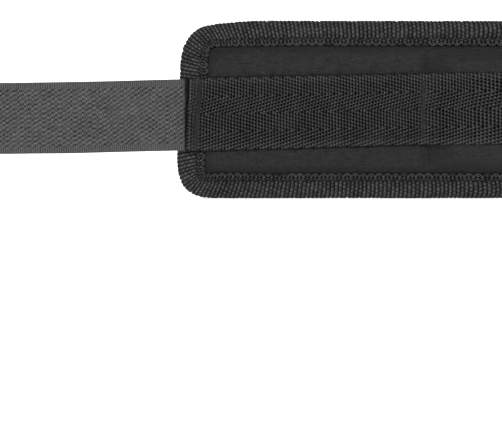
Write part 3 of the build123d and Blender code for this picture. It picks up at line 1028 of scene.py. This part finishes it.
def bend_strap(obj, k):
    """The piece over the strap's span k, at the strap's fold k + 1, has its transform baked."""
    fold = STRAP_FOLD_S - float(np.sum(STRAP_LENGTHS[:k]))
    start = fold + (1.2 if k == 0 else min(STRAP_LENGTHS[k - 1] / 2, 18.0))
    end = fold - (15.0 if k == 0 else min(STRAP_LENGTHS[k] / 2, 18.0))
    a, b = place_strap(start, STRAP_MIDDLE, 0)[0], place_strap(end, STRAP_MIDDLE, 0)[0]
    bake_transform(obj)


HOOK_ROWS = 1.36            # apart along the strap


def hook_field(low, high):
    """Hooks of the hook tape: bent filaments in staggered rows."""
    turn = np.linspace(0, 1, 8)
    # the hook's centre line: up its stem, over the top and down to a free tip
    arc = np.clip((turn - 0.42) / 0.58, 0, 1) * math.radians(230)
    rise = 0.75 * np.clip(turn / 0.42, 0, 1) + 0.30 * np.sin(arc)
    reach = 0.24 * (1 - np.cos(arc))
    slope_r, slope_u = np.gradient(reach), np.gradient(rise)
    steep = np.hypot(slope_r, slope_u)
    nr, nu = -slope_u / steep, slope_r / steep
    ring = np.arange(5) * 2 * math.pi / 5
    radius = 0.085 * np.where(turn > 0.95, 0.5, 1.0)[:, None]
    r = reach[:, None] + nr[:, None] * radius * np.cos(ring)
    z = rise[:, None] + nu[:, None] * radius * np.cos(ring)
    w = radius * np.sin(ring)
    made = []
    for row in np.arange(math.ceil(low / HOOK_ROWS), math.ceil(high / HOOK_ROWS)):
        heights = np.arange(-13, 14) * 1.0 + (0.5 if row % 2 else 0.0)
        for h0 in heights[np.abs(heights) < STRAP_HALF - 2.9]:
            s0 = row * HOOK_ROWS + rng.uniform(-0.3, 0.3)
            h1 = h0 + rng.uniform(-0.2, 0.2)
            angle = (0.0 if row % 2 else math.pi) + rng.uniform(-0.8, 0.8)
            size = rng.uniform(0.88, 1.08)
            along, up = math.cos(angle + math.pi / 2), math.sin(angle + math.pi / 2)
            S = s0 + size * (r * along - w * up)
            H = strap_h(s0) + h1 + size * (r * up + w * along)
            made.append((place_strap(S, 8.05 - size * z, H), grid_faces(*r.shape, wrap=True)))
    return gathered(made)


def build_strap():
    for k, (low, high) in enumerate(STRAP_SPANS):
        S, v = strip(low, high, 0.157, 121)
        half = tip_half(S, strap_half(S)) if k == 3 else strap_half(S)
        H = strap_h(S) + v * half
        local = H - strap_h(S)
        edge = smooth(1.0, 0.97, np.abs(v))
        # the strap dips under the webbing's folded end, and its colour there is painted shadow of the hem
        hem_dip_and_shadow = smooth(2.3, 3.1, S + 0.35 * wander(H, 87, 2.6))
        back = strap_weave(S, local, STRAP_HALF, 81) * (1 - 0.9 * hem_dip_and_shadow)
        outer = 9.0 + 0.20 * edge + 0.20 * (back - 0.5) + 0.10 * wander(S, 83, 21.0) - 0.35 * hem_dip_and_shadow
        front = strap_weave(S + 0.4, local, STRAP_HALF, 85)
        inner = 8.15 - 0.12 * edge - 0.10 * (front - 0.5) + 0.10 * wander(S, 83, 21.0)
        # painted shade on the ground under the hook field, which is darker than the selvedges
        hooks = smooth(STRAP_HALF - 2.4, STRAP_HALF - 3.0, np.abs(local))
        obj = slab(f"hook_strap_{k + 1}", S, H, outer, inner, strap_cloth, "hook_strap", place_strap,
                   back, np.clip(front * (1 - 0.8 * hooks), 0, 1))
        two_tone(obj, S.size, hook_face_cloth)
        bend_strap(obj, k)
        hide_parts(f"free_strap_{k + 1}")
        hooks = hook_field(low + (1.6 if k == 3 else 0.0), high if k else -1.5)
        bend_strap(new_mesh(f"hooks_{k + 1}", *hooks, hook_material, "hook_strap"), k)


def two_tone(obj, outer_points, second):
    """Gives the faces made only of inner-grid points a second material."""
    mesh = obj.data
    mesh.materials.append(second)
    corners = read(mesh.loops, "vertex_index", np.int32)
    starts = read(mesh.polygons, "loop_start", np.int32)
    inner = (corners.reshape(-1, 4) >= outer_points).all(axis=1)
    mesh.polygons.foreach_set("material_index", inner[starts // 4].astype(np.int32))


def build_sewn_strap():
    """The strap's sewn-down end, under the webbing. Only its edges show beside the webbing."""
    cuts = [STRAP_FREE, MID_S[1], MID_S[2], 103.2]
    for k in range(3):
        S, v = strip(cuts[k], cuts[k + 1], 0.45, 61)
        H = strap_h(S) + v * strap_half(S) * 0.975
        back = strap_weave(S, H - strap_h(S), STRAP_HALF, 81)
        edge = smooth(1.0, 0.95, np.abs(v))
        outer = 9.05 + 0.12 * edge + 0.05 * (back - 0.5) - 0.3 * seam_groove(S, H, 1.2)
        obj = slab(f"sewn_hook_strap_{k + 1}", S, H, outer, 8.05, strap_cloth, "hook_strap",
                   outer_relief=back * 0.8)
        bend(obj, k, f"sewn_strap_{k + 1}")


# ---------------------------------------------------------------- loop pad


def build_loop_pad():
    cuts = [PAD_START, MID_S[5], MID_S[6], PAD_END]
    for k in range(3):
        S, v = strip(cuts[k], cuts[k + 1], 0.3, 101)
        H = strap_h(S) + v * (13.9 + 0.15 * wander(S, 91, 8.0))
        start, end = smooth(PAD_START, PAD_START + 1.4, S), smooth(PAD_END, PAD_END - 1.4, S)
        edge = smooth(1.0, 0.94, np.abs(v)) * start * end
        odd = np.mod(np.floor(H / 0.55), 2)
        tuft = lot(93, 0.0, 1.0, np.floor(S / 0.55 + 0.5 * odd), np.floor(H / 0.55))
        pile = np.abs(np.sin(math.pi * S / 0.55) * np.sin(math.pi * H / 0.55)) ** 0.4
        pile = 0.35 + 0.65 * tuft * pile
        end_rows = np.minimum(np.abs(S - PAD_START - 1.8), np.abs(S - PAD_END + 1.8))
        rows = smooth(0.9, 0.0, np.minimum(np.abs(np.abs(H - strap_h(S)) - 12.4), end_rows))
        base = webbing_depth(S) + 1.35
        outer = base + 0.35 + 0.95 * edge + 0.45 * (pile - 0.5) * edge - 0.8 * rows
        obj = slab(f"loop_pile_{k + 1}", S, H, outer, base, loop_cloth, "loop_pad",
                   outer_relief=np.clip(pile * (1 - 0.6 * rows), 0, 1))
        bend(obj, k + 4, f"loop_pad_{k + 6}")


# ---------------------------------------------------------------- thread


def stitches(places, radius, sides=7, rings=9):
    """Threads: each place is (s, h, d, heading, length, sag), a bowed capsule lying on the cloth."""
    u = np.linspace(-1, 1, rings)[:, None]
    ring = np.arange(sides) * 2 * math.pi / sides
    swell = radius * np.sqrt(np.clip(1 - np.abs(u) ** 6, 0.04, 1))
    w = swell * np.cos(ring)
    made = []
    for s0, h0, d0, heading, length, sag in places:
        x = u * length / 2 + 0 * ring
        z = swell * np.sin(ring) + (d0 + sag * u**2)
        S = s0 + x * math.cos(heading) - w * math.sin(heading)
        H = h0 + x * math.sin(heading) + w * math.cos(heading)
        made.append((place(S, z, H), grid_faces(rings, sides, wrap=True)))
    return gathered(made)


def sew(name, places, radius, relief, nodes=None, **shape):
    """One piece of thread for each of the cuff's spans that has stitches in it."""
    for k in range(len(SPANS)):
        here = [stitch for stitch in places if span_of(stitch[0]) == k]
        if here:
            points, quads = stitches(here, radius, **shape)
            obj = new_mesh(f"{name}_{k + 1}", points, quads, thread_cloth, "thread",
                           np.full(len(points), relief))
            bend(obj, k, *((nodes or {}).get(k, ())))


def span_of(s):
    """Which of the cuff's spans holds s."""
    return int(np.clip(np.searchsorted([high for _, high in SPANS], s), 0, 6))


def on_lining(s, h):
    return float(lining_depth(np.array([s]), np.array([h]))[0])


def build_threads():
    # box seam on the lining: two long rows, and several passes across the end
    places = []
    for side in (1, -1):
        for s in np.arange(FIRST_STITCH, SEAM_END - 1.5, STITCH):
            h = float(strap_h(s)) + side * SEAM_HALF + rng.uniform(-0.1, 0.1)
            places.append((s, h, on_lining(s, h) - 0.12, rng.uniform(-0.05, 0.05), 3.4, 0.45))
    centre = float(strap_h(SEAM_END))
    for low, high, sway in TACKS:
        for x in np.arange(low + 2.2, high - 1.0, 0.85 * STITCH):
            turn = math.pi * (x - low) / (high - low)
            s, slope = SEAM_END + sway * math.sin(turn) - 0.15, sway * math.cos(turn) * math.pi / (high - low)
            places.append((s, centre + x, on_lining(s, centre + x) - 0.16, math.pi / 2 - slope, 3.9, 0.3))
    sew("box_seam_thread", places, 0.26, 0.7, {k: [f"box_seam_{k + 1}"] for k in (0, 1, 2)})

    # the passes across the webbing's ends, sunk into the weave
    places = []
    for s, sink in ((SEAM_END, 0.72), (SEAM_START, 1.35)):
        middle = float(strap_h(s))
        for h in np.arange(middle - SEAM_HALF + 2.0, middle + SEAM_HALF - 1.0, STITCH):
            d = float(webbing_depth(s)) + sink
            places.append((s + 0.025 * (h - middle), h, d, math.pi / 2 - 0.025, 3.4, -0.3))
    sew("webbing_thread", places, 0.22, 0.7)

    # the binding's row, on both faces
    places = []
    step = 2 * PITCH
    for number in range(int(round(LOOP_LENGTH / step))):
        s0, h0, ns, nh = (float(v[0]) for v in loop_at(np.array([(number + 0.5) * step])))
        heading = math.atan2(-ns, nh) + math.pi
        for d, sag, inset in ((7.0, -0.3, GROOVE), (-0.68, 0.3, GROOVE * 1.08)):
            s, h = s0 + ns * inset, h0 + nh * inset
            under_strap = abs(h - float(strap_h(s))) < 15.5 and min(s, CUFF_END - s) < 12
            if d < 3 or not under_strap:
                places.append((s, h, d, heading, 2.3, sag))
    sew("binding_thread", places, 0.2, 0.3, sides=6, rings=7)


# ---------------------------------------------------------------- inside the cuff


def build_core():
    """Foam of the flap, and the shot pouches with their shot."""
    cuts = [16.5, MID_S[1], MID_S[2], FLAP_END - 0.6]
    for k, nodes in enumerate(([1, 2], [3], [])):
        S, v = strip(cuts[k], cuts[k + 1], 1.2, 41)
        H = v * 25.5 * np.ones_like(S)
        roll = np.sqrt(np.clip(1 - v**8, 0, 1)) * np.sqrt(np.clip(smooth(16.5, 19.0, S), 0.05, 1))
        obj = slab(f"foam_sheet_{k + 1}", S, H, 3.1 + 1.1 * roll, 3.08, foam_cloth, "foam")
        bend(obj, k, *[f"foam_core_{n}" for n in nodes])

    edges = [FLAP_END, *FOLD_S[3:], 274.0]
    for k, (low, high) in enumerate(zip(edges[:-1], edges[1:]), start=1):
        low, high = low + 2.4 + (2.0 if k == 1 else 0.0), high - 2.4
        middle, half = (low + high) / 2, (high - low) / 2
        u, v = np.meshgrid(np.linspace(-1, 1, 49), np.linspace(-1, 1, 65), indexing="ij")
        rim = np.clip((1 - np.abs(u) ** 4) * (1 - np.abs(v) ** 4), 0, 1) ** 0.5
        S, H = middle + u * half, v * 24.0
        crimp = 0.25 * np.sin(H * 1.9) * smooth(0.80, 0.97, np.abs(u))
        crimp = crimp + 0.25 * np.sin(S * 2.1) * smooth(0.85, 0.98, np.abs(v))
        top = 3.6 + (4.5 + 0.5 * crimp) * rim + 0.25 * wander(S * 2 + H, 103 + k, 3.0) * rim
        weave = 0.5 + 0.5 * np.sin(S * 9) * np.sin(H * 9)
        bag = slab(f"pouch_bag_{k}", S, H, top, 3.35, pouch_cloth, "pouch_cloth", outer_relief=weave)
        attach(bag, f"pocket_{k}")
        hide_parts(f"shot_pouch_{k + 3}")
        shot = new_mesh(f"shot_{k}", *shot_pile(middle, half - 2.0, 3 + k), shot_material, "iron_shot")
        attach(shot, f"pocket_{k}")
        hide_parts(f"shot_fill_{k + 3}")


def ball(segments=8, rings=6):
    """Points and faces of a unit ball."""
    angle = np.arange(segments) * 2 * math.pi / segments
    tilt = np.linspace(0.12, math.pi - 0.12, rings)
    x, y = (np.outer(np.sin(tilt), v) for v in (np.cos(angle), np.sin(angle)))
    points = np.stack([x, y, np.outer(np.cos(tilt), np.ones(segments))], axis=-1).reshape(-1, 3)
    return points, grid_faces(rings, segments, wrap=True)


def shot_pile(middle, half, seed):
    """Loose round shot, two layers deep, inside a pouch."""
    local = np.random.default_rng(seed)
    ball_points, ball_faces = ball()
    made = []
    for layer, depth in enumerate((4.75, 6.6)):
        reach_h = 20.5 - 2.0 * layer
        for row, h0 in enumerate(np.arange(-reach_h, reach_h + 0.1, 2.25)):
            first, last = middle - half + 1.0 + layer + (row % 2) * 1.25, middle + half - 1.0 - layer
            for s0 in np.arange(first, last, 2.62):
                ds, dd, dh = local.uniform(-0.12, 0.12, 3)
                x, y, z = (ball_points * 1.25 * local.uniform(0.92, 1.02)).T
                made.append((place(s0 + ds + x, depth + dd * 0.5 + y, h0 + dh + z), ball_faces))
    return gathered(made)


# ---------------------------------------------------------------- stage, light and camera


def build_stage():
    """A white paper sweep."""
    n = Nodes("studio_paper", 0.9, specular=0.1)
    n.set(n.shader, {"Emission Color": (1, 1, 1, 1), "Emission Strength": 0.55})
    depth, sweep, width = 0.9, 0.35, 3.5
    turns = [math.radians(90 * step / 12) for step in range(1, 13)]
    curve = [(depth + sweep * math.sin(a), sweep - sweep * math.cos(a)) for a in turns]
    profile = [(-2.2, 0.0), (depth, 0.0), *curve, (depth + sweep, 2.2)]
    mesh = bpy.data.meshes.new("paper_sweep")
    points = [(x, y, z) for y, z in profile for x in (-width, width)]
    mesh.from_pydata(points, [], grid_faces(len(profile), 2).tolist())
    mesh.polygons.foreach_set("use_smooth", [True] * len(mesh.polygons))
    mesh.materials.append(n.finish(n.ramp(n.noise(3.0, 2.0), (0.3, 0.90), (0.7, 0.93))))
    link(bpy.data.objects.new("paper_sweep", mesh))


def lamp(name, where, target, size, power):
    data = bpy.data.lights.new(name, "AREA")
    data.shape, data.size, data.energy = "DISK", size, power
    obj = link(bpy.data.objects.new(name, data))
    obj.location = where
    obj.rotation_mode = "QUATERNION"
    obj.rotation_quaternion = (Vector(target) - Vector(where)).to_track_quat("-Z", "Y")


def build_light():
    scene = bpy.context.scene
    scene.world = bpy.data.worlds.new("studio")
    scene.world.use_nodes = True
    # the room lights the object at 0.4 and is itself seen as plain white
    tree = scene.world.node_tree
    background = tree.nodes["Background"]
    background.inputs["Color"].default_value = (1, 1, 1, 1)
    strength = tree.nodes.new("ShaderNodeMath")
    strength.operation = "MULTIPLY_ADD"
    strength.inputs[1].default_value, strength.inputs[2].default_value = 0.8, 0.4
    tree.links.new(tree.nodes.new("ShaderNodeLightPath").outputs["Is Camera Ray"], strength.inputs[0])
    tree.links.new(strength.outputs[0], background.inputs["Strength"])
    lamp("key", (0.42, -1.25, 0.75), (0.03, -0.03, 0.03), 0.5, 12)
    lamp("fill", (-0.8, -1.0, 0.35), (0.03, -0.03, 0.03), 0.9, 3.5)
    lamp("back", (-0.25, 1.3, 0.65), (0.03, 0.0, 0.03), 0.6, 11)
    view = scene.view_settings
    view.view_transform, view.look, view.exposure = "Standard", "None", 0.0


def build_camera():
    data = bpy.data.cameras.new("camera")
    data.lens, data.sensor_width = 90.0, 36.0
    data.dof.use_dof = False
    width = 0.2115               # seen across the picture at the cuff's outer face
    edge = place(0.0, 6.0, 0.0)[0]
    obj = link(bpy.data.objects.new("camera", data))
    obj.location = (edge[0] + 0.03054, edge[1] - width * data.lens / data.sensor_width, HALF / 1000)
    obj.rotation_euler = (math.radians(90), 0, 0)
    data.shift_y = -0.21         # low, so the cuff stands in the upper half of the picture
    data.clip_start, data.clip_end = 0.02, 20
    bpy.context.scene.camera = obj


for build in (build_bindings, build_panels, build_webbing, build_strap, build_sewn_strap, build_loop_pad,
              build_threads, build_core, build_stage, build_light, build_camera):
    build()

layers = {"edge_binding": 7, "outer_panel_cloth": 7, "lining_cloth": 7, "webbing_strip": 7,
          "sewn_hook_strap": 3, "loop_pile": 3}
for layer, count in layers.items():
    for n in range(1, count):
        match_normals(f"{layer}_{n}", f"{layer}_{n + 1}")
for n in (3, 2, 1):
    match_normals(f"hook_strap_{n + 1}", f"hook_strap_{n}")
for name, normals in NORMALS.items():
    bpy.data.objects[name].data.normals_split_custom_set_from_vertices(normals.tolist())
